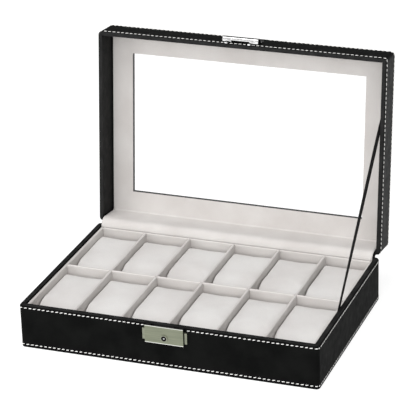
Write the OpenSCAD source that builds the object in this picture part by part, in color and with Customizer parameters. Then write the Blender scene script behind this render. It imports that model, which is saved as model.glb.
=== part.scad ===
// Glass-topped watch box: leather-wrapped base and lid, velvet lining,
// twelve lift-out pillows, press lock with a tubular key barrel, ribbon stay.
// Millimetres. Origin at the centre of the base's underside, +X to the right,
// +Y to the back, +Z up. The lid is drawn shut and then swung open.

/* [Box] */
// Outside width
box_w = 300; // [290:1:310]
// Outside depth
box_d = 200; // [195:1:205]
// Height of the base
base_h = 45; // [45:1:48]
// Height of the lid
lid_h = 31.5; // [31:0.5:34]
// Radius of the upright corners
corner_r = 4; // [3:0.5:4]
// Angle the lid stands open at
open_deg = 96; // [92:1:98]

/* [Walls] */
// Thickness of the leather
leather_t = 0.8; // [0.7:0.1:0.9]
// Thickness of the base's boards
board_t = 3.4; // [3.3:0.1:3.6]
// Thickness of the lid's boards
lid_board_t = 2.6; // [2.5:0.1:2.8]
// Radius of the rolled rims
rim_r = 1.6; // [1.4:0.1:1.8]
// Radius of the lid's top edge
top_r = 2; // [1.8:0.1:2.2]
// Radius of the base's bottom edge
foot_r = 1.2; // [1.2:0.1:1.4]
// Thickness of the velvet-covered wall cards
lining_t = 3; // [2.8:0.1:3.1]
// How far the wall cards stop below the rim
lining_drop = 1.7; // [1.5:0.1:2]

/* [Compartments] */
// Compartments across the box
columns = 6; // [6:1:6]
// Thickness of the dividers
divider_t = 2.5; // [2.3:0.1:2.7]
// Width of a pillow
pillow_w = 43.4; // [42:0.2:44]
// Front-to-back length of a pillow
pillow_l = 85.5; // [82:0.5:86]
// Height of a pillow
pillow_h = 32.4; // [30:0.2:32.4]
// Radius of a pillow's long front curve
pillow_front_r = 30; // [26:1:31]
// Radius of a pillow's back edge
pillow_back_r = 9; // [7:1:11]

/* [Window] */
// Width of the window
window_w = 246; // [240:1:250]
// Depth of the window
window_d = 147; // [140:1:150]
// Thickness of the glass
glass_t = 1.2; // [1:0.1:1.2]
// Depth from the lid's rim to its velvet panel
panel_z = 26; // [25:0.5:26]

/* [Lock] */
// Width of the lock's sliding plate
slider_w = 38.4; // [36:0.2:40]
// Height of the lock's sliding plate
slider_h = 17.5; // [17.5:0.1:18]
// How far the sliding plate stands out
slider_out = 4.5; // [4.5:0.1:4.8]
// Height of the key barrel above the base
key_z = 33.2; // [33:0.1:33.4]
// Distance of each hook from the middle
hook_x = 12; // [11.5:0.1:12.5]

/* [Hidden] */
$fn = 48;

skin_black = [0.11, 0.11, 0.11];
velvet_grey = [0.86, 0.85, 0.84];
board_brown = [0.55, 0.45, 0.34];
nickel = [0.62, 0.62, 0.54];
chrome = [0.82, 0.83, 0.84];

// base sizes
rim_w = 2 * leather_t + board_t;
cell_w0 = box_w - 2 * (rim_w + lining_t);
cell_d0 = box_d - 2 * (rim_w + lining_t);
bottom_t = 3;
turn_in = 12;
floor_t = 1.5;
floor_z = leather_t + bottom_t;
cell_z = floor_z + floor_t;
lining_top = base_h - lining_drop;
slot_gap = 0.1;
half_lap_z = (cell_z + lining_top) / 2;
cell_w = (cell_w0 - (columns - 1) * divider_t) / columns;
cell_d = (cell_d0 - divider_t) / 2;
pitch = cell_w + divider_t;

// lid sizes, drawn shut above the base
rim_gap = 0.4;
lid_z = base_h + rim_gap;
lid_wall = 2 * leather_t + lid_board_t;
panel_t = 0.8;
panel_gap = 1.5;
rabbet = 5;
glass_z = panel_z + panel_t;
hinge_y = box_d / 2 + 1.1;
hinge_z = lid_z;

// lock sizes, measured out from the base's front
metal_t = 0.8;
front_y = -box_d / 2;
slider_top = base_h - 0.2;
slider_bottom = slider_top - slider_h;
lock_travel = 3;
housing_top = slider_top - metal_t - lock_travel - 0.3;
housing_bottom = slider_bottom + 2;
housing_w = slider_w + 6.2;
ear_w = 2.4;
ear_out = 2.6;
lug_top = housing_bottom + 3.2;
lug_w = 3.2;
lug_out = 3.4;
slide_gap = 0.3;
spring_x = 6.8;
spring_out = 2.2;
spring_r = 1;
wire_r = 0.2;
rivet_x = 15.8;
rivet_r = 0.8;
rivet_z = key_z + 1.8;
rivet_head_r = 1.5;
rivet_head_t = 0.7;
bezel_r = 3.6;
bezel_neck_r = 3;
bezel_bore_r = 2.6;
bezel_rim_t = 0.6;
barrel_r = 2.52;
barrel_proud = 0.4;
key_slot_r = 1.85;
key_slot_deep = 2.2;
key_post_r = 0.85;
key_notch = [0.9, 2.2];
cam_out = [1.1, 1.9];
cam_w = 2.2;
cam_reach = 4.7;
cam_gap = 0.2;
stop_out = 2.1;
stop_w = 2;
hook_in = 1.7;
hook_t = 1.6;
hook_w = 3;
hook_room = 1.4;
hook_tip_z = 39;
hasp_w = 37;
hasp_t = 0.9;
hasp_rivet_z = 62.5;
hasp_rivet_x = 9;
hasp_mouth = [19, 2.9];

// ribbon stay
ribbon_w = 6;
ribbon_t = 0.6;
ribbon_x = box_w / 2 - lid_wall - 0.5;
ribbon_foot = [-21, base_h + 0.05];
ribbon_head_shut = [-38, 54];
ribbon_tab = [5.5, 3.7, 0.3];

// a point of the shut lid, given as [y, z], after it is swung open
function swung(p) = [
    hinge_y + (p[0] - hinge_y) * cos(open_deg) + (p[1] - hinge_z) * sin(open_deg),
    hinge_z - (p[0] - hinge_y) * sin(open_deg) + (p[1] - hinge_z) * cos(open_deg)];

// ---- shared shapes

// a block given by its lowest and highest corners
module block(lo, hi) {
    translate(lo) cube(hi - lo);
}

// what is drawn for the shut lid, swung open about the hinge
module swing_open() {
    translate([0, hinge_y, hinge_z]) rotate([-open_deg, 0, 0])
        translate([0, -hinge_y, -hinge_z]) children();
}

// carries a section round the box; its x runs inwards from the outer face
module around() {
    for (k = [0:3]) {
        run = k % 2 == 0 ? box_w : box_d;
        off = k % 2 == 0 ? box_d : box_w;
        rotate([0, 0, 90 * k]) {
            translate([corner_r - run / 2, -off / 2, 0]) rotate([90, 0, 90])
                linear_extrude(run - 2 * corner_r) children();
            translate([run / 2 - corner_r, corner_r - off / 2, 0]) rotate([0, 0, -90])
                rotate_extrude(angle = 90) translate([corner_r, 0]) mirror([1, 0])
                    children();
        }
    }
}

// leather section: outer face, rolled edges and the start of both turn-ins
module wrap_section(h, r_low, r_high) {
    difference() {
        union() {
            translate([0, r_low]) square([corner_r, h - r_low - r_high]);
            translate([r_low, 0]) square([corner_r - r_low, h / 2]);
            translate([r_high, h / 2]) square([corner_r - r_high, h / 2]);
            translate([r_low, r_low]) circle(r_low);
            translate([r_high, h - r_high]) circle(r_high);
        }
        translate([leather_t, leather_t]) square([corner_r + 1, h - 2 * leather_t]);
    }
}

// square ring between two distances in from the outer face
module ring(in0, in1, z0, z1) {
    difference() {
        block([in0 - box_w / 2, in0 - box_d / 2, z0], [box_w / 2 - in0, box_d / 2 - in0, z1]);
        block([in1 - box_w / 2, in1 - box_d / 2, z0 - 1],
            [box_w / 2 - in1, box_d / 2 - in1, z1 + 1]);
    }
}

// ring of leather round the window, reach wide and standing on z0
module window_ring(reach, z0, z1) {
    difference() {
        translate([-window_w / 2 - reach, -window_d / 2 - reach, z0])
            cube([window_w + 2 * reach, window_d + 2 * reach, z1 - z0]);
        translate([-window_w / 2, -window_d / 2, z0 - 1])
            cube([window_w, window_d, z1 - z0 + 2]);
    }
}

// board across the front of a box, as long as the flat between the corners
module front_board(t, z0, z1) {
    block([corner_r - box_w / 2, leather_t - box_d / 2, z0],
        [box_w / 2 - corner_r, leather_t + t - box_d / 2, z1]);
}

// board down the left side of a box, between the front and back boards
module left_board(t, z0, z1) {
    block([leather_t - box_w / 2, leather_t + t - box_d / 2, z0],
        [leather_t + t - box_w / 2, box_d / 2 - leather_t - t, z1]);
}

// pin along Y whose front end stands out from the front face
module front_pin(x, z, r, out0, out1) {
    translate([x, front_y - out0, z]) rotate([90, 0, 0]) cylinder(r = r, h = out1 - out0);
}

// card with a rounded, velvet-wrapped top edge, running along X
module card_x(len, t, z0, z1) {
    block([-len / 2, -t / 2, z0], [len / 2, t / 2, z1 - t / 2]);
    translate([-len / 2, 0, z1 - t / 2]) rotate([0, 90, 0]) cylinder(r = t / 2, h = len);
}

// ---- base

module lock_rivet_holes() {
    for (s = [-1, 1]) front_pin(s * rivet_x, rivet_z, rivet_r, -board_t - leather_t, slider_out);
}

module base_bottom_board() {
    color(board_brown)
        block([leather_t + board_t - box_w / 2, leather_t + board_t - box_d / 2, leather_t],
            [box_w / 2 - leather_t - board_t, box_d / 2 - leather_t - board_t, floor_z]);
}

module base_front_board() {
    color(board_brown) difference() {
        front_board(board_t, leather_t, base_h - leather_t);
        lock_rivet_holes();
    }
}

module base_back_board() {
    color(board_brown) mirror([0, 1, 0]) front_board(board_t, leather_t, base_h - leather_t);
}

module base_left_board() {
    color(board_brown) left_board(board_t, leather_t, base_h - leather_t);
}

module base_right_board() {
    color(board_brown) mirror([1, 0, 0]) left_board(board_t, leather_t, base_h - leather_t);
}

module base_leather() {
    color(skin_black) difference() {
        union() {
            around() wrap_section(base_h, foot_r, rim_r);
            ring(corner_r, rim_w, base_h - leather_t, base_h);
            ring(leather_t + board_t, rim_w, base_h - turn_in, base_h - leather_t);
            ring(corner_r, turn_in, 0, leather_t);
        }
        lock_rivet_holes();
    }
}

module base_underside_sheet() {
    color([0.2, 0.2, 0.2])
        block([turn_in - box_w / 2, turn_in - box_d / 2, 0],
            [box_w / 2 - turn_in, box_d / 2 - turn_in, leather_t]);
}

module lining_floor() {
    color(velvet_grey)
        block([rim_w - leather_t - box_w / 2, rim_w - leather_t - box_d / 2, floor_z],
            [box_w / 2 - rim_w + leather_t, box_d / 2 - rim_w + leather_t, cell_z]);
}

module lining_front() {
    color(velvet_grey) translate([0, rim_w + lining_t / 2 - box_d / 2, 0])
        card_x(cell_w0, lining_t, cell_z, lining_top);
}

module lining_back() {
    color(velvet_grey) translate([0, box_d / 2 - rim_w - lining_t / 2, 0])
        card_x(cell_w0, lining_t, cell_z, lining_top);
}

module lining_left() {
    color(velvet_grey) translate([rim_w + lining_t / 2 - box_w / 2, 0, 0]) rotate([0, 0, 90])
        card_x(box_d - 2 * rim_w, lining_t, cell_z, lining_top);
}

module lining_right() {
    color(velvet_grey) translate([box_w / 2 - rim_w - lining_t / 2, 0, 0]) rotate([0, 0, 90])
        card_x(box_d - 2 * rim_w, lining_t, cell_z, lining_top);
}

// long divider with a slot from above at each crossing
module divider_long() {
    slot_w = divider_t + 2 * slot_gap;
    color(velvet_grey) difference() {
        card_x(cell_w0 - 2 * slot_gap, divider_t, cell_z, lining_top);
        for (k = [1:columns - 1])
            block([(k - columns / 2) * pitch - slot_w / 2, -divider_t, half_lap_z],
                [(k - columns / 2) * pitch + slot_w / 2, divider_t, base_h]);
    }
}

// cross divider with a slot from below where it straddles the long one
module divider_cross(k) {
    slot_w = divider_t + 2 * slot_gap;
    color(velvet_grey) translate([(k - columns / 2) * pitch, 0, 0]) difference() {
        rotate([0, 0, 90]) card_x(cell_d0 - 2 * slot_gap, divider_t, cell_z, lining_top);
        block([-divider_t, -slot_w / 2, 0], [divider_t, slot_w / 2, half_lap_z + slot_gap]);
    }
}

// ---- pillows

// side outline of a pillow: x runs from its back end, y up from its seat
function pillow_outline(n = 10) = concat(
    [[0, 3], [3, 0], [pillow_l - 8, 0]],
    [for (i = [0:n]) [pillow_l - pillow_front_r * (1 - cos(i * 90 / n)),
        pillow_h - pillow_front_r * (1 - sin(i * 90 / n))]],
    [for (i = [0:n]) [pillow_back_r * (1 - sin(i * 90 / n)),
        pillow_h - pillow_back_r * (1 - cos(i * 90 / n))]]);

module pillow(column, row) {
    back_y = row == 0 ? -divider_t / 2 : cell_d0 / 2;
    color([0.88, 0.87, 0.86])
        translate([(column - (columns + 1) / 2) * pitch - pillow_w / 2,
            back_y - (cell_d - pillow_l) / 2, cell_z + 0.3])
            rotate([90, 0, 90]) mirror([1, 0, 0]) linear_extrude(pillow_w)
                polygon(pillow_outline());
}

// ---- lock

// fixed tray behind the sliding plate, with its two ears and its lugs
module lock_housing() {
    color(nickel) difference() {
        union() {
            block([-housing_w / 2, front_y - metal_t, housing_bottom],
                [housing_w / 2, front_y, housing_top]);
            for (s = [-1, 1]) {
                translate([s * (housing_w - ear_w) / 2, 0, 0])
                    block([-ear_w / 2, front_y - ear_out, housing_bottom],
                        [ear_w / 2, front_y - metal_t, housing_top]);
                translate([s * spring_x, 0, 0])
                    block([-lug_w / 2, front_y - lug_out, housing_bottom],
                        [lug_w / 2, front_y - metal_t, lug_top]);
            }
            // stop that the turned cam rests above
            block([spring_x - lug_w / 2 - stop_w, front_y - stop_out, housing_bottom],
                [spring_x - lug_w / 2, front_y - metal_t, key_z - cam_w / 2 - cam_gap]);
        }
        lock_rivet_holes();
    }
}

module lock_rivets() {
    color(nickel) for (s = [-1, 1]) {
        front_pin(s * rivet_x, rivet_z, rivet_r, -board_t - leather_t, metal_t);
        front_pin(s * rivet_x, rivet_z, rivet_head_r, metal_t, metal_t + rivet_head_t);
    }
}

// helical compression spring between a lug and the plate's top flange
module lock_spring(side) {
    turns = 7;
    steps = 12 * turns;
    sides = 8;
    low = lug_top + wire_r + 0.05;
    high = slider_top - metal_t - wire_r - 0.05;
    points = [for (i = [0:steps], j = [0:sides - 1])
        let (a = i * 360 / 12, b = j * 360 / sides, r = spring_r + wire_r * cos(b))
            [r * cos(a), r * sin(a), low + (high - low) * i / steps + wire_r * sin(b)]];
    faces = concat(
        [[for (j = [0:sides - 1]) j]],
        [for (i = [0:steps - 1], j = [0:sides - 1])
            [i * sides + j, (i + 1) * sides + j, (i + 1) * sides + (j + 1) % sides,
                i * sides + (j + 1) % sides]],
        [[for (j = [sides - 1:-1:0]) steps * sides + j]]);
    color(chrome) translate([side * spring_x, front_y - spring_out, 0])
        polyhedron(points, faces);
}

// plate that is pressed down, with flanges folded back top and bottom
module lock_slider() {
    slot_w = hook_w + hook_room;
    color(nickel) difference() {
        union() {
            block([-slider_w / 2, front_y - slider_out, slider_bottom],
                [slider_w / 2, front_y - slider_out + metal_t, slider_top]);
            block([-slider_w / 2, front_y - slider_out + metal_t, slider_top - metal_t],
                [slider_w / 2, front_y - slide_gap, slider_top]);
            block([-slider_w / 2, front_y - slider_out + metal_t, slider_bottom],
                [slider_w / 2, front_y - slide_gap, slider_bottom + metal_t]);
        }
        for (s = [-1, 1]) translate([s * hook_x, 0, 0])
            block([-slot_w / 2, front_y - slider_out + metal_t, slider_top - 2],
                [slot_w / 2, front_y - 1.2, slider_top + 1]);
        front_pin(0, key_z, bezel_neck_r, 2, 6);
    }
}

module lock_bezel() {
    color(chrome) difference() {
        union() {
            front_pin(0, key_z, bezel_neck_r, slider_out - metal_t, slider_out);
            front_pin(0, key_z, bezel_r, slider_out, slider_out + bezel_rim_t);
        }
        front_pin(0, key_z, bezel_bore_r, 2, 6);
    }
}

// tubular barrel: a round key slot with a post in its middle
module lock_barrel() {
    face = slider_out + barrel_proud;
    color(chrome) difference() {
        front_pin(0, key_z, barrel_r, cam_out[1], face);
        difference() {
            front_pin(0, key_z, key_slot_r, face - key_slot_deep, face + 1);
            front_pin(0, key_z, key_post_r, face - key_slot_deep - 1, face + 1);
        }
        block([-key_notch[0] / 2, front_y - face - 1, key_z + key_slot_r - 0.6],
            [key_notch[0] / 2, front_y - face + 1.2, key_z + key_notch[1]]);
    }
}

// cam on the barrel's back end; it points up when unlocked
module lock_cam() {
    color(nickel) union() {
        front_pin(0, key_z, key_slot_r, cam_out[0], cam_out[1]);
        block([-cam_w / 2, front_y - cam_out[1], key_z],
            [cam_w / 2, front_y - cam_out[0], key_z + cam_reach]);
    }
}

// ---- lid, drawn shut

module hasp_rivet_holes() {
    for (s = [-1, 1]) front_pin(s * hasp_rivet_x, hasp_rivet_z, rivet_r, -lid_wall + leather_t, 3);
}

module lid_front_board() {
    color(board_brown) swing_open() difference() {
        front_board(lid_board_t, lid_z + leather_t, lid_z + glass_z);
        hasp_rivet_holes();
    }
}

module lid_back_board() {
    color(board_brown) swing_open() mirror([0, 1, 0])
        front_board(lid_board_t, lid_z + leather_t, lid_z + glass_z);
}

module lid_left_board() {
    color(board_brown) swing_open() left_board(lid_board_t, lid_z + leather_t, lid_z + glass_z);
}

module lid_right_board() {
    color(board_brown) swing_open() mirror([1, 0, 0])
        left_board(lid_board_t, lid_z + leather_t, lid_z + glass_z);
}

// board under the lid's top, rebated from below for the glass
module lid_top_board() {
    z0 = lid_z + glass_z;
    z1 = lid_z + lid_h - leather_t;
    color(board_brown) swing_open() difference() {
        union() {
            block([corner_r - box_w / 2, leather_t - box_d / 2, z0],
                [box_w / 2 - corner_r, box_d / 2 - leather_t, z1]);
            block([leather_t - box_w / 2, corner_r - box_d / 2, z0],
                [box_w / 2 - leather_t, box_d / 2 - corner_r, z1]);
        }
        translate([-window_w / 2 - leather_t, -window_d / 2 - leather_t, z0 - 1])
            cube([window_w + 2 * leather_t, window_d + 2 * leather_t, lid_h]);
        translate([-window_w / 2 - rabbet, -window_d / 2 - rabbet, z0 - 1])
            cube([window_w + 2 * rabbet, window_d + 2 * rabbet, 1 + glass_t]);
    }
}

module lid_leather() {
    color(skin_black) swing_open() difference() {
        union() {
            translate([0, 0, lid_z]) around() wrap_section(lid_h, rim_r, top_r);
            ring(corner_r, lid_wall, lid_z, lid_z + leather_t);
            difference() {
                block([corner_r - box_w / 2, corner_r - box_d / 2, lid_z + lid_h - leather_t],
                    [box_w / 2 - corner_r, box_d / 2 - corner_r, lid_z + lid_h]);
                translate([-window_w / 2, -window_d / 2, lid_z])
                    cube([window_w, window_d, lid_h + 1]);
            }
            window_ring(leather_t, lid_z + glass_z + glass_t, lid_z + lid_h - leather_t);
            ring(lid_wall - leather_t, lid_wall, lid_z + leather_t, lid_z + panel_z);
            ring(lid_wall - leather_t, lid_wall + panel_gap, lid_z + panel_z, lid_z + glass_z);
        }
        hasp_rivet_holes();
    }
}

module lid_glass() {
    color([0.85, 0.92, 0.92, 0.35]) swing_open()
        translate([-window_w / 2 - rabbet + 0.2, -window_d / 2 - rabbet + 0.2, lid_z + glass_z])
            cube([window_w + 2 * rabbet - 0.4, window_d + 2 * rabbet - 0.4, glass_t]);
}

module lid_velvet_panel() {
    edge = lid_wall + panel_gap;
    color(velvet_grey) swing_open() difference() {
        block([edge - box_w / 2, edge - box_d / 2, lid_z + panel_z],
            [box_w / 2 - edge, box_d / 2 - edge, lid_z + glass_z]);
        translate([-window_w / 2, -window_d / 2, lid_z]) cube([window_w, window_d, lid_h]);
    }
}

// side outline of the hasp: x stands out from the lid, y is the height when shut
hasp_outline = [[0, 66.5], [hasp_t, 66.5], [hasp_t, 59.2], [2.4, 56.4], [5, 54.9], [5.9, 53.8],
    [5.9, 49.2], [5.1, 48.4], [1, 48.4], [1, 49.3], [4.8, 49.3], [5, 49.6], [5, 53.4],
    [4.6, 54], [1.7, 55.6], [0, 58.4]];

module hasp() {
    color(chrome) swing_open() difference() {
        union() {
            translate([-hasp_w / 2, front_y, 0]) rotate([90, 0, 90]) linear_extrude(hasp_w)
                mirror([1, 0]) polygon(hasp_outline);
            for (s = [-1, 1]) translate([s * hook_x, 0, 0])
                block([-hook_w / 2, front_y - hook_in - hook_t, hook_tip_z],
                    [hook_w / 2, front_y - hook_in, 48.6]);
        }
        hasp_rivet_holes();
        // open mouth between the hooks, where the lock's top goes in
        block([-hasp_mouth[0] / 2, front_y - hasp_mouth[1], 48],
            [hasp_mouth[0] / 2, front_y, 49.7]);
        // slanted lead-in at the hooks' tips
        translate([0, front_y - hook_in - hook_t, hook_tip_z]) rotate([-35, 0, 0])
            block([-20, -4, -4], [20, 4, 0]);
    }
}

module hasp_rivets() {
    color(chrome) swing_open() for (s = [-1, 1]) {
        front_pin(s * hasp_rivet_x, hasp_rivet_z, rivet_r, -lid_wall + leather_t, hasp_t);
        front_pin(s * hasp_rivet_x, hasp_rivet_z, rivet_head_r, hasp_t, hasp_t + rivet_head_t);
    }
}

// ---- soft pieces across the hinge, drawn with the lid open

strip_t = 0.8;
strip_end = 1;

// leather strip down the outside, from the base's back up under the lid's
module hinge_leather() {
    y = box_d / 2 + 0.03;
    lid_inner = [for (z = [hinge_z + 1, hinge_z + 15]) swung([y, z])];
    lid_outer = [for (z = [hinge_z + 15, hinge_z + 0.6]) swung([y + strip_t, z])];
    color(skin_black) translate([corner_r - box_w / 2 + strip_end, 0, 0]) rotate([90, 0, 90])
        linear_extrude(box_w - 2 * (corner_r + strip_end))
            polygon(concat([[y + strip_t, base_h - 15], [y, base_h - 15], [y, base_h - rim_r],
                [y + 0.3, base_h]], lid_inner, lid_outer));
}

// velvet strip down the inside, from the lid's panel over the gap to the lining
module hinge_velvet() {
    y = box_d / 2 - lid_wall - 0.05;
    near = [[93, lining_top + 0.15], [94.4, base_h + 2.4], [98, base_h + 5.9]];
    far = [[97.5, base_h + 6.8], [93.6, base_h + 2.8], [92.1, lining_top + 0.5]];
    lid_near = [swung([y, hinge_z + 0.9]), swung([y, hinge_z + panel_z - 0.1])];
    lid_far = [swung([y - strip_t, hinge_z + panel_z - 0.1]), swung([y - strip_t, hinge_z + 0.9])];
    length = box_w - 2 * (lid_wall + 1.5);
    color(velvet_grey) translate([-length / 2, 0, 0]) rotate([90, 0, 90])
        linear_extrude(length) polygon(concat(near, lid_near, lid_far, far));
}

// flat ribbon that holds the open lid, on the right, with its tab on the rim
module stay_ribbon() {
    head = swung(ribbon_head_shut);
    run = head - ribbon_foot;
    across = [-run[1], run[0]] * ribbon_w / 2 / norm(run);
    foot_half = [ribbon_w / 2 * norm(run) / run[1], 0];
    color(skin_black) translate([ribbon_x - ribbon_t, 0, 0]) union() {
        rotate([90, 0, 90]) linear_extrude(ribbon_t)
            polygon([ribbon_foot - foot_half, ribbon_foot + foot_half, head - across,
                head + across]);
        block([0, ribbon_foot[0] - ribbon_tab[0], ribbon_foot[1]],
            [ribbon_tab[1], ribbon_foot[0] + ribbon_tab[0], ribbon_foot[1] + ribbon_tab[2]]);
    }
}

base_bottom_board();
base_front_board();
base_back_board();
base_left_board();
base_right_board();
base_leather();
base_underside_sheet();
lining_floor();
lining_front();
lining_back();
lining_left();
lining_right();
divider_long();
divider_cross(1);  // divider_cross_1
divider_cross(2);  // divider_cross_2
divider_cross(3);  // divider_cross_3
divider_cross(4);  // divider_cross_4
divider_cross(5);  // divider_cross_5
lock_housing();
lock_rivets();
lock_spring(-1);  // lock_spring_left
lock_spring(1);  // lock_spring_right
lock_slider();
lock_bezel();
lock_barrel();
lock_cam();
lid_front_board();
lid_back_board();
lid_left_board();
lid_right_board();
lid_top_board();
lid_leather();
lid_glass();
lid_velvet_panel();
hasp();
hasp_rivets();
hinge_leather();
hinge_velvet();
stay_ribbon();
pillow(1, 0);  // pillow_front_1
pillow(2, 0);  // pillow_front_2
pillow(3, 0);  // pillow_front_3
pillow(4, 0);  // pillow_front_4
pillow(5, 0);  // pillow_front_5
pillow(6, 0);  // pillow_front_6
pillow(1, 1);  // pillow_back_1
pillow(2, 1);  // pillow_back_2
pillow(3, 1);  // pillow_back_3
pillow(4, 1);  // pillow_back_4
pillow(5, 1);  // pillow_back_5
pillow(6, 1);  // pillow_back_6
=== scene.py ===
"""Looks for the glass-topped watch box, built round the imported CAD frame. Metres throughout."""

import math
import random

import bmesh
import bpy
from mathutils import Matrix, Vector
from mathutils.noise import noise

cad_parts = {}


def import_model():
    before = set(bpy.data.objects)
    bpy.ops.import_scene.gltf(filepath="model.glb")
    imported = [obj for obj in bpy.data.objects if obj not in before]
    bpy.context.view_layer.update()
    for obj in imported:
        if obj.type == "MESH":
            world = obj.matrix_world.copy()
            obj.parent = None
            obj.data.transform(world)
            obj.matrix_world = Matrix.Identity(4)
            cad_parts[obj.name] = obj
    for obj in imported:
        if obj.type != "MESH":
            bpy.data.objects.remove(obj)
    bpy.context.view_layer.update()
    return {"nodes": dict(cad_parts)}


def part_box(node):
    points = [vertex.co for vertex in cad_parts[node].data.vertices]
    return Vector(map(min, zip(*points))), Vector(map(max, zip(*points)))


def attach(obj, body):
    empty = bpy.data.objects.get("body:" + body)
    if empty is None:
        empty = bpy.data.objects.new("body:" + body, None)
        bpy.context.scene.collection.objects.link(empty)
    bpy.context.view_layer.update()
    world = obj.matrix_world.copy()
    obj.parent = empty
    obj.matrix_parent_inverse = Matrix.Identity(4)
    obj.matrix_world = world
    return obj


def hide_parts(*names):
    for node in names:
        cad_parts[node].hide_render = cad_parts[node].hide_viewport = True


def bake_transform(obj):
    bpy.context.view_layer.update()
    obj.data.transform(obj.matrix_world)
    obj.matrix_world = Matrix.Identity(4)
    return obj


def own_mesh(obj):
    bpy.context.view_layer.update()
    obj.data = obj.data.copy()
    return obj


MM = 0.001

# sizes shared with the CAD, in millimetres
BOX_W, BOX_D, BASE_H, LID_H = 300.0, 200.0, 45.0, 31.5
CORNER_R = 4.0
LID_Z = 45.4
LID_WALL = 4.2
HINGE_Y, HINGE_Z = 101.1, 45.4
OPEN_DEG = 96.0
KEY_Z = 33.2
STRIP_T = 0.8
SPRING_X, SPRING_OUT, SPRING_LOW, SPRING_HIGH = 6.8, 2.2, 32.5, 43.95
HOOK_X, HOOK_W = 12.0, 3.0
HASP_W, HASP_T = 37.0, 0.84
HASP_MOUTH_W, HASP_MOUTH_OUT = 19.0, 2.9
RIBBON_X, RIBBON_W, RIBBON_T = 145.0, 6.0, 0.44
RIBBON_FOOT, RIBBON_HEAD_SHUT = (-21.0, 45.25), (-38.0, 54.0)

# stitching
STITCH_PITCH = 4.6
STITCH_LENGTH = 3.1
LOCK_CLEAR = 19.6

BLACK_LOW, BLACK_HIGH = (0.0035, 0.0037, 0.0036), (0.006, 0.0063, 0.006)

# faces of a block whose corners are listed by x, then y, then z
BLOCK_FACES = [
    (0, 1, 3, 2),
    (4, 6, 7, 5),
    (0, 4, 5, 1),
    (2, 3, 7, 6),
    (0, 2, 6, 4),
    (1, 5, 7, 3),
]


def swung(y, z):
    """A point of the shut lid, in millimetres, after it is swung open."""
    c, s = math.cos(math.radians(OPEN_DEG)), math.sin(math.radians(OPEN_DEG))
    return (
        HINGE_Y + (y - HINGE_Y) * c + (z - HINGE_Z) * s,
        HINGE_Z - (y - HINGE_Y) * s + (z - HINGE_Z) * c,
    )


def swung3(p):
    return (p[0], *swung(p[1], p[2]))


# ---- mesh helpers


def make_object(name, verts, faces, material, smooth=True):
    """A mesh object from millimetre vertices."""
    mesh = bpy.data.meshes.new(name)
    mesh.from_pydata([Vector(v) * MM for v in verts], [], faces)
    mesh.validate()
    bm = bmesh.new()
    bm.from_mesh(mesh)
    bmesh.ops.recalc_face_normals(bm, faces=bm.faces)
    bm.to_mesh(mesh)
    bm.free()
    obj = bpy.data.objects.new(name, mesh)
    bpy.context.scene.collection.objects.link(obj)
    for p in mesh.polygons:
        p.use_smooth = smooth
    mesh.materials.append(material)
    return obj


def add_bevel(obj, width, segments=3, angle=35):
    m = obj.modifiers.new("edges", "BEVEL")
    m.width = width * MM
    m.segments = segments
    m.limit_method = "ANGLE"
    m.angle_limit = math.radians(angle)
    m.harden_normals = True
    m.use_clamp_overlap = True
    return m


def apply_modifiers(obj):
    """Leaves the shape that the modifiers make as the object's own mesh."""
    bpy.context.view_layer.update()
    dg = bpy.context.evaluated_depsgraph_get()
    mesh = bpy.data.meshes.new_from_object(obj.evaluated_get(dg))
    obj.modifiers.clear()
    obj.data = mesh


def smooth_path(points, per_span=6):
    """Catmull-Rom curve through 2-D points."""
    out = []
    n = len(points)
    for i in range(n - 1):
        p0 = points[max(i - 1, 0)]
        p1, p2 = points[i], points[i + 1]
        p3 = points[min(i + 2, n - 1)]
        for k in range(per_span):
            t = k / per_span
            out.append(
                tuple(
                    0.5
                    * (
                        2 * b
                        + (c - a) * t
                        + (2 * a - 5 * b + 4 * c - d) * t * t
                        + (3 * b - a - 3 * c + d) * t**3
                    )
                    for a, b, c, d in zip(p0, p1, p2, p3)
                )
            )
    out.append(tuple(points[-1]))
    return out


def offset_path(path, d):
    """The path moved sideways by d."""
    out = []
    for i, p in enumerate(path):
        a, b = path[max(i - 1, 0)], path[min(i + 1, len(path) - 1)]
        t = Vector((b[0] - a[0], b[1] - a[1])).normalized()
        out.append((p[0] - t.y * d, p[1] + t.x * d))
    return out


def strip_along_x(name, path, thickness, half_w, columns, material, wobble=None):
    """A cloth strip of even thickness that follows a path in the YZ plane."""
    near, far = offset_path(path, thickness / 2), offset_path(path, -thickness / 2)
    loop = near + far[::-1]
    verts, faces, n = [], [], len(loop)
    for c in range(columns + 1):
        x = -half_w + 2 * half_w * c / columns
        for k, (y, z) in enumerate(loop):
            i = k if k < len(path) else 2 * len(path) - 1 - k
            dy, dz = wobble(x, i / (len(path) - 1)) if wobble else (0, 0)
            verts.append((x, y + dy, z + dz))
    for c in range(columns):
        for k in range(n):
            a, b = c * n + k, c * n + (k + 1) % n
            faces.append((a, b, b + n, a + n))
    faces.append(tuple(range(n)))
    faces.append(tuple(columns * n + k for k in range(n - 1, -1, -1)))
    return make_object(name, verts, faces, material)


# ---- materials


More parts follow.
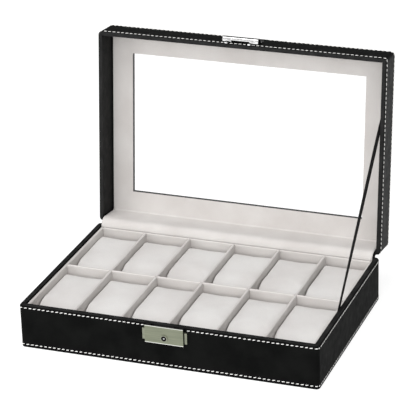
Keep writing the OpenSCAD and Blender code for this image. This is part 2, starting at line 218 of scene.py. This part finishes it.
class Nodes:
    """Short calls for a node material with one Principled shader."""

    def __init__(self, name):
        self.mat = bpy.data.materials.new(name)
        self.mat.use_nodes = True
        self.tree = self.mat.node_tree
        self.tree.nodes.clear()
        self.out = self.add("ShaderNodeOutputMaterial")
        self.bsdf = self.add("ShaderNodeBsdfPrincipled")
        self.link(self.bsdf.outputs[0], self.out.inputs["Surface"])
        self.coords = self.add("ShaderNodeTexCoord").outputs["Object"]

    def add(self, kind, **values):
        node = self.tree.nodes.new(kind)
        for k, v in values.items():
            setattr(node, k, v)
        return node

    def link(self, a, b):
        self.tree.links.new(a, b)

    def set(self, **values):
        for k, v in values.items():
            self.bsdf.inputs[k.replace("_", " ")].default_value = v
        return self

    def noise(self, scale, detail=3.0, rough=0.5, stretch=None):
        n = self.add("ShaderNodeTexNoise")
        n.inputs["Scale"].default_value = scale
        n.inputs["Detail"].default_value = detail
        n.inputs["Roughness"].default_value = rough
        source = self.coords
        if stretch:
            m = self.add("ShaderNodeMapping")
            m.inputs["Scale"].default_value = stretch
            self.link(self.coords, m.inputs["Vector"])
            source = m.outputs[0]
        self.link(source, n.inputs["Vector"])
        return n.outputs["Fac"]

    def cells(self, scale, feature="F1"):
        v = self.add("ShaderNodeTexVoronoi", feature=feature)
        v.inputs["Scale"].default_value = scale
        self.link(self.coords, v.inputs["Vector"])
        return v.outputs["Distance"]

    def ramp(self, fac, stops):
        r = self.add("ShaderNodeValToRGB")
        e = r.color_ramp.elements
        while len(e) < len(stops):
            e.new(0.5)
        for el, (pos, colour) in zip(e, stops):
            el.position = pos
            el.color = (*colour, 1.0)
        self.link(fac, r.inputs["Fac"])
        return r.outputs["Color"]

    def spread(self, fac, low, high):
        m = self.add("ShaderNodeMapRange")
        m.inputs["From Min"].default_value = 0.3
        m.inputs["From Max"].default_value = 0.7
        m.inputs["To Min"].default_value = low
        m.inputs["To Max"].default_value = high
        self.link(fac, m.inputs["Value"])
        return m.outputs["Result"]

    def bump(self, *layers):
        """Bump from (height output, strength, depth in metres) layers."""
        normal = None
        for height, strength, depth in layers:
            b = self.add("ShaderNodeBump")
            b.inputs["Strength"].default_value = strength
            b.inputs["Distance"].default_value = depth
            self.link(height, b.inputs["Height"])
            if normal is not None:
                self.link(normal, b.inputs["Normal"])
            normal = b.outputs["Normal"]
        self.link(normal, self.bsdf.inputs["Normal"])


def leather_material(name, dark, light, rim, spec, rim_dir, rim_at):
    """Fine-grained black imitation leather, with a painted highlight: paler colour where it rolls
    over the rim.
    """
    n = Nodes(name)
    # mask for a thin band just under the rim, where a paler colour is painted as a highlight
    dot = n.add("ShaderNodeVectorMath", operation="DOT_PRODUCT")
    dot.inputs[1].default_value = rim_dir
    n.link(n.coords, dot.inputs[0])
    edge = n.add("ShaderNodeMapRange", interpolation_type="SMOOTHSTEP")
    edge.inputs["From Min"].default_value = rim_at - 0.5 * MM
    edge.inputs["From Max"].default_value = rim_at - 0.05 * MM
    n.link(dot.outputs["Value"], edge.inputs["Value"])
    mix = n.add("ShaderNodeMix", data_type="RGBA")
    n.link(edge.outputs["Result"], mix.inputs["Factor"])
    n.link(n.ramp(n.noise(55, 4), [(0.35, dark), (0.65, light)]), mix.inputs[6])
    # painted highlight: paler colour along the rolled rim, standing in for the glint of its edge
    rim_highlight_shades = [tuple(c * k for c in rim) for k in (0.6, 1.3)]
    n.link(n.ramp(n.noise(90, 3), [(0.35, rim_highlight_shades[0]), (0.65, rim_highlight_shades[1])]), mix.inputs[7])
    n.link(mix.outputs[2], n.bsdf.inputs["Base Color"])
    n.link(n.spread(n.noise(140, 3), 0.55, 0.68), n.bsdf.inputs["Roughness"])
    n.set(Specular_IOR_Level=spec)
    n.bump(
        (n.cells(1100), 0.35, 0.00010),
        (n.noise(420, 3), 0.25, 0.00012),
        (n.noise(18, 2), 0.1, 0.0004),
    )
    return n.mat


def velvet_material(name, low, high, sheen):
    """Short velvet pile, with faint clouds where the pile leans another way."""
    n = Nodes(name)
    clouds = n.ramp(n.noise(22, 3, 0.55), [(0.36, low), (0.64, high)])
    fuzz = n.ramp(
        n.noise(2600, 2, 0.6), [(0.3, (0.90, 0.90, 0.90)), (0.7, (1.0, 1.0, 1.0))]
    )
    mix = n.add("ShaderNodeMix", data_type="RGBA", blend_type="MULTIPLY")
    mix.inputs["Factor"].default_value = 1.0
    n.link(clouds, mix.inputs[6])
    n.link(fuzz, mix.inputs[7])
    n.link(mix.outputs[2], n.bsdf.inputs["Base Color"])
    n.set(
        Roughness=0.95,
        Specular_IOR_Level=0.08,
        Sheen_Weight=sheen,
        Sheen_Roughness=0.45,
    )
    n.bump((n.noise(2200, 3), 0.35, 0.00025), (n.noise(60, 3), 0.25, 0.0005))
    return n.mat


def metal_material(name, low, high, rough, stretch, depth):
    """Plated metal with a fine brushed grain along X."""
    n = Nodes(name)
    grain = n.noise(900, 3, 0.6, stretch)
    n.link(n.ramp(grain, [(0.35, low), (0.65, high)]), n.bsdf.inputs["Base Color"])
    n.link(n.spread(grain, rough[0], rough[1]), n.bsdf.inputs["Roughness"])
    n.set(Metallic=1.0)
    n.bump((grain, 0.2, depth))
    return n.mat


def band(n, axis, start, end):
    """0 to 1 as the object's coordinate along an axis goes from start to end (mm)."""
    split = n.add("ShaderNodeSeparateXYZ")
    n.link(n.coords, split.inputs[0])
    m = n.add("ShaderNodeMapRange", interpolation_type="SMOOTHSTEP")
    m.inputs["From Min"].default_value = start * MM
    m.inputs["From Max"].default_value = end * MM
    n.link(split.outputs[axis], m.inputs["Value"])
    return m.outputs["Result"]


def layered(n, base, layers):
    """Colour with (mask, colour) layers laid over it in turn."""
    for mask, colour in layers:
        mix = n.add("ShaderNodeMix", data_type="RGBA")
        n.link(mask, mix.inputs["Factor"])
        n.link(base, mix.inputs[6])
        mix.inputs[7].default_value = (*colour, 1)
        base = mix.outputs[2]
    n.link(base, n.bsdf.inputs["Base Color"])


def lock_plate_material():
    """Brushed nickel plate, with painted highlights along its top and bottom folds and painted
    shade on the flange behind.
    """
    n = Nodes("lock_plate")
    grain = n.noise(900, 3, 0.6, (0.04, 1, 1))
    base = n.ramp(grain, [(0.35, (0.195, 0.21, 0.155)), (0.65, (0.25, 0.265, 0.195))])
    # a near-white painted highlight colour, then a near-black painted shade colour
    bright, flange_shade = (0.80, 0.81, 0.76), (0.02, 0.02, 0.02)
    layered(
        n,
        base,
        [
            # painted highlights along the top and bottom folds, and painted shade on the flange
            # behind the front face
            (band(n, 2, 44.1, 44.5), bright),
            (band(n, 2, 28.1, 27.7), bright),
            (band(n, 1, -103.75, -103.5), flange_shade),
        ],
    )
    n.link(n.spread(grain, 0.30, 0.42), n.bsdf.inputs["Roughness"])
    n.set(Metallic=1.0)
    n.bump((grain, 0.2, 0.00002))
    return n.mat


def barrel_material():
    """Key barrel: round slot painted black as shade in its recess, with a bright post in its
    middle.
    """
    n = Nodes("key_barrel_plate")
    flat = n.add("ShaderNodeVectorMath", operation="MULTIPLY")
    flat.inputs[1].default_value = (1, 0, 1)
    n.link(n.coords, flat.inputs[0])
    far = n.add("ShaderNodeVectorMath", operation="DISTANCE")
    far.inputs[1].default_value = (0, 0, KEY_Z * MM)
    n.link(flat.outputs[0], far.inputs[0])
    edge = n.add("ShaderNodeMapRange")
    edge.inputs["From Min"].default_value = 0.8 * MM
    edge.inputs["From Max"].default_value = 0.95 * MM
    n.link(far.outputs["Value"], edge.inputs["Value"])
    base = n.ramp(n.noise(900, 2), [(0.35, (0.40, 0.40, 0.40)), (0.65, (0.50, 0.50, 0.50))])
    # painted shade: black over the barrel outside the post, in place of the deep round slot's
    # shadow
    layered(n, base, [(edge.outputs["Result"], (0.015, 0.015, 0.015))])
    n.set(Metallic=1.0, Roughness=0.25)
    return n.mat


def board_material():
    n = Nodes("fibreboard")
    n.link(
        n.ramp(
            n.noise(900, 5, 0.7), [(0.3, (0.25, 0.17, 0.10)), (0.7, (0.45, 0.33, 0.21))]
        ),
        n.bsdf.inputs["Base Color"],
    )
    n.set(Roughness=0.85)
    n.bump((n.noise(1500, 3), 0.4, 0.0002))
    return n.mat


def sheet_material():
    """Flat black lining paper under the base."""
    n = Nodes("underside_paper")
    n.link(
        n.ramp(
            n.noise(300, 4),
            [(0.35, (0.010, 0.010, 0.010)), (0.65, (0.020, 0.020, 0.020))],
        ),
        n.bsdf.inputs["Base Color"],
    )
    n.set(Roughness=0.9, Specular_IOR_Level=0.2)
    n.bump((n.noise(1800, 3), 0.5, 0.0002))
    return n.mat


def ribbon_material():
    """Woven black ribbon with ribs across it."""
    n = Nodes("woven_ribbon")
    w = n.add("ShaderNodeTexWave", wave_type="BANDS", bands_direction="DIAGONAL")
    w.inputs["Scale"].default_value = 700
    w.inputs["Distortion"].default_value = 0.4
    n.link(n.coords, w.inputs["Vector"])
    n.link(
        n.ramp(
            w.outputs["Fac"],
            [(0.2, (0.003, 0.003, 0.003)), (0.8, (0.012, 0.012, 0.012))],
        ),
        n.bsdf.inputs["Base Color"],
    )
    n.set(Roughness=0.8, Specular_IOR_Level=0.1)
    n.bump((w.outputs["Fac"], 0.5, 0.0001))
    return n.mat


def thread_material():
    n = Nodes("pale_thread")
    n.link(
        n.ramp(
            n.noise(900, 2), [(0.35, (0.72, 0.71, 0.69)), (0.65, (0.92, 0.91, 0.89))]
        ),
        n.bsdf.inputs["Base Color"],
    )
    n.set(Roughness=0.7)
    n.bump((n.noise(5000, 2), 0.5, 0.0001))
    return n.mat


def glass_material():
    """Clear window: nearly all of what is behind shows, with a thin reflection."""
    n = Nodes("window_glass")
    n.link(
        n.ramp(
            n.noise(6, 2), [(0.4, (0.93, 0.95, 0.95)), (0.6, (0.96, 0.97, 0.97))]
        ),
        n.bsdf.inputs["Base Color"],
    )
    n.set(Roughness=0.02, IOR=1.45, Alpha=0.04, Specular_IOR_Level=0.2)
    return n.mat


def floor_material():
    n = Nodes("studio_floor")
    n.set(Base_Color=(0.35, 0.35, 0.35, 1), Roughness=0.9, Specular_IOR_Level=0.0)
    n.set(Emission_Color=(1, 1, 1, 1), Emission_Strength=0.85)
    return n.mat


# ---- soft pieces


def pillow_shell(width, length, height, front_r, back_r, step=2.2):
    """Closed pillow mesh: back end at y 0, front end at y -length, seat at z 0."""
    outline = [(0.0, 3.0), (0.9, 0.9), (3.0, 0.0)]
    outline += [(length - 8, 0.0), (length - 2.4, 2.0)]
    n = 14
    outline += [
        (
            length - front_r * (1 - math.cos(i * math.pi / 2 / n)),
            height - front_r * (1 - math.sin(i * math.pi / 2 / n)),
        )
        for i in range(1, n + 1)
    ]
    outline += [
        (
            back_r * (1 - math.sin(i * math.pi / 2 / 8)),
            height - back_r * (1 - math.cos(i * math.pi / 2 / 8)),
        )
        for i in range(9)
    ]
    verts = [(x, -s, z) for x in (-width / 2, width / 2) for s, z in outline]
    k = len(outline)
    faces = [(i, (i + 1) % k, k + (i + 1) % k, k + i) for i in range(k)]
    faces += [tuple(range(k)), tuple(range(2 * k - 1, k - 1, -1))]
    mesh = bpy.data.meshes.new("pillow_start")
    mesh.from_pydata([Vector(v) * MM for v in verts], [], faces)
    bm = bmesh.new()
    bm.from_mesh(mesh)
    bmesh.ops.recalc_face_normals(bm, faces=bm.faces)
    bm.to_mesh(mesh)
    bm.free()
    obj = bpy.data.objects.new("pillow_start", mesh)
    bpy.context.scene.collection.objects.link(obj)
    m = obj.modifiers.new("even", "REMESH")
    m.mode = "VOXEL"
    m.voxel_size = step * MM
    m.use_smooth_shade = True
    apply_modifiers(obj)
    return obj


def inflate(obj, cap_side, cap):
    """Cloth-simulated swelling, with each point's travel capped."""
    rest = [v.co.copy() for v in obj.data.vertices]
    cloth = obj.modifiers.new("cloth", "CLOTH")
    s = cloth.settings
    s.quality = 6
    s.use_pressure = True
    s.uniform_pressure_force = 4.0
    s.effector_weights.gravity = 0.0
    s.tension_stiffness = s.compression_stiffness = 18
    s.bending_stiffness = 1.2
    scene = bpy.context.scene
    for f in range(1, 21):
        scene.frame_set(f)
    dg = bpy.context.evaluated_depsgraph_get()
    moved = [v.co.copy() for v in obj.evaluated_get(dg).data.vertices]
    obj.modifiers.remove(cloth)
    for v, a, b in zip(obj.data.vertices, rest, moved):
        d = b - a
        v.co = a + Vector(
            (
                max(-cap_side, min(cap_side, d.x / MM)) * MM,
                max(-cap, min(cap, d.y / MM)) * MM,
                max(-cap * 0.2, min(cap, d.z / MM)) * MM if a.z > 2 * MM else 0.0,
            )
        )
    scene.frame_set(1)


def soften(obj, rounds=2):
    m = obj.modifiers.new("relax", "SMOOTH")
    m.factor, m.iterations = 0.5, rounds
    m = obj.modifiers.new("fine", "SUBSURF")
    m.levels = m.render_levels = 1
    apply_modifiers(obj)


def build_pillows(material):
    """Twelve watch pillows from one simulated shape, each a little different."""
    start = pillow_shell(43.2, 84.8, 31.8, 29.0, 8.5, 1.7)
    inflate(start, 0.3, 1.4)
    soften(start, 1)
    shape = [v.co.copy() for v in start.data.vertices]
    rng = random.Random(12)
    for row in ("front", "back"):
        for column in range(1, 7):
            node = f"pillow_{row}_{column}"
            lo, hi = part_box(node)
            mesh = start.data.copy()
            shift = Vector(((lo.x + hi.x) / 2, hi.y - 0.45 * MM, lo.z))
            seed = Vector((rng.random() * 40, rng.random() * 40, rng.random() * 40))
            lean = rng.uniform(-0.25, 0.25) * MM
            for v, c in zip(mesh.vertices, shape):
                up = max(0.0, min(1.0, (c.z / MM - 8) / 20))
                swell = noise(c / (18 * MM) + seed) * 0.4
                swell += noise(c / (7 * MM) + seed) * 0.08
                v.co = c + shift + Vector((lean * up, 0, swell * up * MM))
            obj = bpy.data.objects.new(f"watch_pillow_{row}_{column}", mesh)
            bpy.context.scene.collection.objects.link(obj)
            mesh.materials.clear()
            mesh.materials.append(material)
            for p in mesh.polygons:
                p.use_smooth = True
            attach(obj, node)
            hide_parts(node)
    bpy.data.objects.remove(start)


def build_hinge_velvet(material):
    """Velvet strip from the back lining over the rim and up the lid's back wall."""
    back = BOX_D / 2 - LID_WALL - 0.45
    points = [(93.0, 43.75), (93.5, 46.0), (95.3, 49.1), (98.4, 50.9), swung(back, 46.6)]
    points += [swung(back, z) for z in (49.0, 55.0, 61.0, 66.0, 69.4)]
    points += [swung(back - 0.5, 70.6), swung(back - 1.9, 70.95)]

    def wobble(x, t):
        fold = math.sin(math.pi * min(1.0, t / 0.45)) if t < 0.45 else 0.0
        w = noise(Vector((x / 24, 3.1, 0))) * 0.5 + noise(Vector((x / 7, 8.7, t * 3))) * 0.12
        return w * fold * 0.8, w * fold

    path, half = smooth_path(points), 144.2
    obj = strip_along_x("hinge_velvet_strip", path, STRIP_T, half, 140, material, wobble)
    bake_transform(obj)
    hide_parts("hinge_velvet")


def build_hinge_leather(material):
    """Leather strip down the outside of the hinge."""
    y = BOX_D / 2 + 0.46
    points = [(y, 30.2), (y, 36.0), (y, 41.0), (y, 43.6), (y + 0.6, 45.3), swung(y, 46.4)]
    points += [swung(y, z) for z in (48.0, 52.0, 56.0, 60.2)]
    path, half = smooth_path(points), 145.0
    obj = strip_along_x("hinge_leather_strip", path, STRIP_T, half, 60, material)
    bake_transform(obj)
    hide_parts("hinge_leather")


def build_ribbon(material):
    """Ribbon stay: a flat tab on the rim, then taut up to the lid's side wall."""
    foot, head = Vector(RIBBON_FOOT), Vector(swung(*RIBBON_HEAD_SHUT))
    run = head - foot
    length = run.length
    along = run / length
    across = Vector((-along.y, along.x))
    x0, half_t, half_w = RIBBON_X, RIBBON_T / 2, RIBBON_W / 2
    rows, verts, faces = 48, [], []
    for i in range(rows + 1):
        t = i / rows
        mid = foot + run * t
        if i == 0:
            side = Vector((1, 0)) * -(half_w * length / run.y)
        else:
            side = across * half_w
        twist = math.radians(34) * max(0.0, min(1.0, (t - 0.06) / 0.8)) * (1 - 0.6 * t**6)
        for s, e in ((-1, -1), (1, -1), (1, 1), (-1, 1)):
            flat = side * (s * math.cos(twist))
            out = math.sin(twist) * s * -half_w * 0.55
            verts.append((x0 + e * half_t + out, mid.x + flat.x, mid.y + flat.y))
    for i in range(rows):
        for k in range(4):
            a, b = i * 4 + k, i * 4 + (k + 1) % 4
            faces.append((a, b, b + 4, a + 4))
    faces += [(0, 1, 2, 3), tuple(rows * 4 + k for k in (3, 2, 1, 0))]
    ribbon = make_object("stay_ribbon_strap", verts, faces, material, smooth=False)
    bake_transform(ribbon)
    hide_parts("stay_ribbon")
    # tab glued on the rim, and the folded end fixed to the lid's wall
    tab_low, tab_high = (144.75, -26.5, 45.02), (148.4, -15.5, 45.34)
    tab = rounded_block("ribbon_tab", tab_low, tab_high, 0.12, material)
    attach(tab, "base")
    patch_low, patch_high = (-0.55, -4.2, -3.2), (0.25, 4.6, 3.2)
    patch = rounded_block("ribbon_end", patch_low, patch_high, 0.2, material)
    angle = math.atan2(run.y, run.x)
    patch.data.transform(
        Matrix.Translation((0.1452, head.x * MM, head.y * MM)) @ Matrix.Rotation(angle, 4, "X")
    )
    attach(patch, "lid")


def rounded_block(name, lo, hi, edge, material):
    """A block with its edges rounded over, from millimetre corners."""
    x0, y0, z0 = lo
    x1, y1, z1 = hi
    verts = [(x, y, z) for x in (x0, x1) for y in (y0, y1) for z in (z0, z1)]
    obj = make_object(name, verts, BLOCK_FACES, material, smooth=True)
    add_bevel(obj, edge, 3)
    apply_modifiers(obj)
    return obj


# ---- stitching


def stitch(verts, faces, centre, along, out, length, radius, slant):
    """One raised stitch: a plump capsule half sunk in the leather."""
    a, o = Vector(along), Vector(out)
    side = o.cross(a)
    a = (a * math.cos(slant) + side * math.sin(slant)).normalized()
    side = o.cross(a)
    start = len(verts)
    profile = [(-0.5, 0.25), (-0.36, 0.85), (0.0, 1.0), (0.36, 0.85), (0.5, 0.25)]
    ring = 6
    for t, r in profile:
        for k in range(ring):
            b = 2 * math.pi * k / ring
            p = Vector(centre) + a * (t * length)
            p += (o * math.cos(b) + side * math.sin(b)) * (radius * r)
            verts.append(tuple(p))
    for i in range(len(profile) - 1):
        for k in range(ring):
            q = start + i * ring + k
            r = start + i * ring + (k + 1) % ring
            faces.append((q, r, r + ring, q + ring))
    faces.append(tuple(start + k for k in range(ring - 1, -1, -1)))
    faces.append(tuple(start + (len(profile) - 1) * ring + k for k in range(ring)))


def stitch_row(verts, faces, rng, z, radius, length=STITCH_LENGTH, inset=0.0, skip_lock=False):
    """A row of stitches round the box's four sides at one height; side 0 is the front."""
    for side in range(4):
        run, off = (BOX_W, BOX_D) if side % 2 == 0 else (BOX_D, BOX_W)
        turn = math.pi / 2 * side
        c, s = round(math.cos(turn)), round(math.sin(turn))
        along, out = (c, s, 0), (s, -c, 0)
        reach = run / 2 - 2.6
        count = int(2 * reach / STITCH_PITCH)
        for k in range(count + 1):
            t = -reach + 2 * reach * k / count + rng.uniform(-0.15, 0.15)
            if skip_lock and side == 0 and abs(t) < LOCK_CLEAR:
                continue
            bend = max(0.0, abs(t) - (run / 2 - CORNER_R))
            drop = CORNER_R - math.sqrt(max(0.0, CORNER_R**2 - bend**2))
            d = off / 2 - inset - drop
            centre = (c * t + s * d, s * t - c * d, z + rng.uniform(-0.08, 0.08))
            this_length = length * rng.uniform(0.92, 1.05)
            slant = math.radians(rng.uniform(7, 12))
            stitch(verts, faces, centre, along, out, this_length, radius, slant)


def build_stitches(material):
    rng = random.Random(4)
    verts, faces = [], []
    stitch_row(verts, faces, rng, BASE_H - 2.5, 0.47, inset=0.04, skip_lock=True)
    stitch_row(verts, faces, rng, 3.6, 0.47, inset=0.04)
    base = make_object("base_stitching", verts, faces, material)
    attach(base, "base")
    verts, faces = [], []
    stitch_row(verts, faces, rng, LID_Z + 2.4, 0.5, inset=0.06)
    stitch_row(verts, faces, rng, LID_Z + LID_H - 2.8, 0.8, length=2.9, skip_lock=True)
    lid = make_object("lid_stitching", [swung3(v) for v in verts], faces, material)
    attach(lid, "lid")


# ---- metal pieces


def build_hasp(material):
    """Hasp on the lid: one bent sheet with rolled edges, and two hooks."""
    # middle of the sheet: distance out from the lid, and height with the lid shut
    plate = [(0.5, 66.4), (0.5, 63.0), (0.52, 59.6)]
    slope = [(1.5, 57.3), (3.4, 55.6), (5.1, 54.3)]
    front = [(5.5, 53.0), (5.5, 50.4), (5.1, 49.1)]
    lip = [(3.9, 48.8), (2.6, 48.8), (1.3, 48.85)]
    path = smooth_path(plate + slope + front + lip, 4)
    near, far = offset_path(path, HASP_T / 2), offset_path(path, -HASP_T / 2)
    loop = near + far[::-1]
    n = len(loop)
    half = HASP_W / 2
    verts = [swung3((x, -BOX_D / 2 - h, z)) for x in (-half, half) for h, z in loop]
    faces = [(k, (k + 1) % n, n + (k + 1) % n, n + k) for k in range(n)]
    faces += [tuple(range(n)), tuple(range(2 * n - 1, n - 1, -1))]
    shell = make_object("hasp_shell", verts, faces, material)
    mouth = [
        swung3((x, -BOX_D / 2 - h, z))
        for x in (-HASP_MOUTH_W / 2, HASP_MOUTH_W / 2)
        for h in (-0.5, HASP_MOUTH_OUT)
        for z in (48.0, 49.7)
    ]
    cutter = make_object("hasp_mouth", mouth, BLOCK_FACES, material, smooth=False)
    cut = shell.modifiers.new("mouth", "BOOLEAN")
    cut.operation, cut.object, cut.solver = "DIFFERENCE", cutter, "EXACT"
    add_bevel(shell, 0.22, 3, 50)
    apply_modifiers(shell)
    bpy.data.objects.remove(cutter)
    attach(shell, "lid")
    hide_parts("hasp")
    profile = [(1.75, 48.9), (3.25, 48.9), (3.3, 41.4), (2.9, 40.2), (2.2, 39.3), (1.75, 39.2)]
    k = len(profile)
    for name, x in (("hasp_hook_left", -HOOK_X), ("hasp_hook_right", HOOK_X)):
        sides = (x - HOOK_W / 2, x + HOOK_W / 2)
        verts = [swung3((side, -BOX_D / 2 - h, z)) for side in sides for h, z in profile]
        faces = [(i, (i + 1) % k, k + (i + 1) % k, k + i) for i in range(k)]
        faces += [tuple(range(k)), tuple(range(2 * k - 1, k - 1, -1))]
        hook = make_object(name, verts, faces, material)
        add_bevel(hook, 0.25, 2, 25)
        apply_modifiers(hook)
        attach(hook, "lid")


def build_springs(frame, material):
    """The lock's two springs, copied from the CAD onto the base with their own meshes; the real
    springs shorten as the plate is pressed down.
    """
    for side, x in (("left", -SPRING_X), ("right", SPRING_X)):
        cad = frame["nodes"][f"lock_spring_{side}"]
        mesh = cad.data.copy()
        mesh.transform(cad.matrix_world)
        mesh.materials.clear()
        mesh.materials.append(material)
        obj = bpy.data.objects.new(f"plate_spring_{side}", mesh)
        bpy.context.scene.collection.objects.link(obj)
        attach(obj, "base")
        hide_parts(f"lock_spring_{side}")
        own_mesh(obj)


def finish_cad_nodes(frame, mats):
    """Materials, and rounded edges where the real sheet metal has them."""
    use = {
        "base_leather": "leather",
        "lid_leather": "lid_leather",
        "base_underside_sheet": "paper",
        "lid_glass": "glass",
        "lock_barrel": "barrel",
        "lock_bezel": "nickel",
        "hasp_rivets": "chrome",
        "lock_slider": "lock_plate",
        "lock_housing": "nickel",
        "lock_rivets": "nickel",
        "lock_cam": "nickel",
    }
    for name, obj in frame["nodes"].items():
        key = use.get(name)
        if key is None:
            key = "board" if name.endswith("_board") else "velvet"
        obj.data.materials.clear()
        obj.data.materials.append(mats[key])
    for name, width in (
        ("lock_slider", 0.32),
        ("lock_housing", 0.3),
        ("lock_bezel", 0.18),
        ("lock_barrel", 0.08),
        ("lid_velvet_panel", 0.35),
    ):
        add_bevel(frame["nodes"][name], width)


# ---- studio


def build_floor(material):
    mesh = bpy.data.meshes.new("studio_floor")
    r = 7.0
    mesh.from_pydata([(-r, -r, 0), (r, -r, 0), (r, r, 0), (-r, r, 0)], [], [(0, 1, 2, 3)])
    floor = bpy.data.objects.new("studio_floor", mesh)
    bpy.context.scene.collection.objects.link(floor)
    mesh.materials.append(material)


def build_camera():
    right = Vector((0.93909, 0.34253, -0.02806))
    up = Vector((-0.11452, 0.38886, 0.91415))
    back = Vector((0.32403, -0.85526, 0.40440))
    cam = bpy.data.cameras.new("camera")
    cam.lens = 194.9
    cam.sensor_width = 36.0
    cam.clip_start, cam.clip_end = 0.1, 50.0
    obj = bpy.data.objects.new("camera", cam)
    bpy.context.scene.collection.objects.link(obj)
    turn = Matrix((right, up, back)).transposed().to_4x4()
    obj.matrix_world = Matrix.Translation((0.70547, -1.83984, 0.99313)) @ turn
    bpy.context.scene.camera = obj


def area_light(name, place, target, size, power):
    light = bpy.data.lights.new(name, "AREA")
    light.shape = "RECTANGLE"
    light.size, light.size_y = size
    light.energy = power
    obj = bpy.data.objects.new(name, light)
    obj.location = place
    obj.rotation_mode = "QUATERNION"
    obj.rotation_quaternion = (Vector(target) - Vector(place)).to_track_quat("-Z", "Y")
    bpy.context.scene.collection.objects.link(obj)


def build_lights():
    world = bpy.data.worlds.new("studio")
    world.use_nodes = True
    tree = world.node_tree
    sky = tree.nodes["Background"]
    sky.inputs["Color"].default_value = (1, 1, 1, 1)
    # the room is bright in front of the box and dim behind it
    coords = tree.nodes.new("ShaderNodeTexCoord")
    split = tree.nodes.new("ShaderNodeSeparateXYZ")
    fade = tree.nodes.new("ShaderNodeMapRange")
    tree.links.new(coords.outputs["Generated"], split.inputs[0])
    tree.links.new(split.outputs["Y"], fade.inputs["Value"])
    for key, value in (("From Min", -0.9), ("From Max", 0.7), ("To Min", 0.75), ("To Max", 0.1)):
        fade.inputs[key].default_value = value
    tree.links.new(fade.outputs["Result"], sky.inputs["Strength"])
    bpy.context.scene.world = world
    area_light("softbox_top", (-0.3, -0.4, 1.9), (0, 0, 0.05), (1.3, 1.0), 21)
    area_light("softbox_front", (0.1, -2.4, 0.8), (0, 0, 0.12), (1.8, 1.2), 18)
    area_light("softbox_right", (1.5, -1.3, 1.2), (0, 0, 0.12), (0.8, 0.8), 6)
    area_light("softbox_left", (-1.6, -1.1, 0.55), (0, 0, 0.14), (0.8, 0.8), 8)
    bpy.context.scene.view_settings.view_transform = "Standard"


def build_materials():
    """Every material that more than one function needs, by a short name."""
    slope = math.radians(OPEN_DEG)
    lid_rim = Vector((0, -math.sin(slope), -math.cos(slope)))
    lid_rim_at = lid_rim.dot(Vector(swung3((0, 0, LID_Z)))) * MM
    # paler rim colours: painted highlights on the rolled edges of base and lid
    base_rim_highlight, lid_rim_highlight = (0.02, 0.02, 0.02), (0.012, 0.012, 0.012)
    even = (1, 1, 1)
    return {
        "leather": leather_material(
            "base_black_leather", BLACK_LOW, BLACK_HIGH, base_rim_highlight, 0.02, (0, 0, 1), BASE_H * MM
        ),
        "lid_leather": leather_material(
            "lid_black_leather", BLACK_LOW, BLACK_HIGH, lid_rim_highlight, 0.13, lid_rim, lid_rim_at
        ),
        "velvet": velvet_material("lining_velvet", (0.60, 0.57, 0.55), (0.66, 0.635, 0.615), 0.12),
        "pillow": velvet_material("pillow_velvet", (0.67, 0.645, 0.63), (0.73, 0.715, 0.70), 0.12),
        "board": board_material(),
        "paper": sheet_material(),
        "glass": glass_material(),
        "chrome": metal_material(
            "bright_plate", (0.70, 0.70, 0.70), (0.84, 0.84, 0.84), (0.04, 0.08), even, 0.000004
        ),
        "nickel": metal_material(
            "satin_nickel",
            (0.22, 0.235, 0.18),
            (0.28, 0.29, 0.225),
            (0.30, 0.42),
            (0.04, 1, 1),
            0.00002,
        ),
        "barrel": barrel_material(),
        "lock_plate": lock_plate_material(),
        "wire": metal_material(
            "spring_wire", (0.55, 0.55, 0.55), (0.70, 0.70, 0.70), (0.2, 0.3), even, 0.00001
        ),
    }


def main():
    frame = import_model()
    build_camera()
    mats = build_materials()
    finish_cad_nodes(frame, mats)
    build_pillows(mats["pillow"])
    build_hinge_velvet(mats["velvet"])
    build_hinge_leather(mats["leather"])
    build_ribbon(ribbon_material())
    build_stitches(thread_material())
    build_springs(frame, mats["wire"])
    build_hasp(mats["chrome"])
    build_floor(floor_material())
    build_lights()


main()
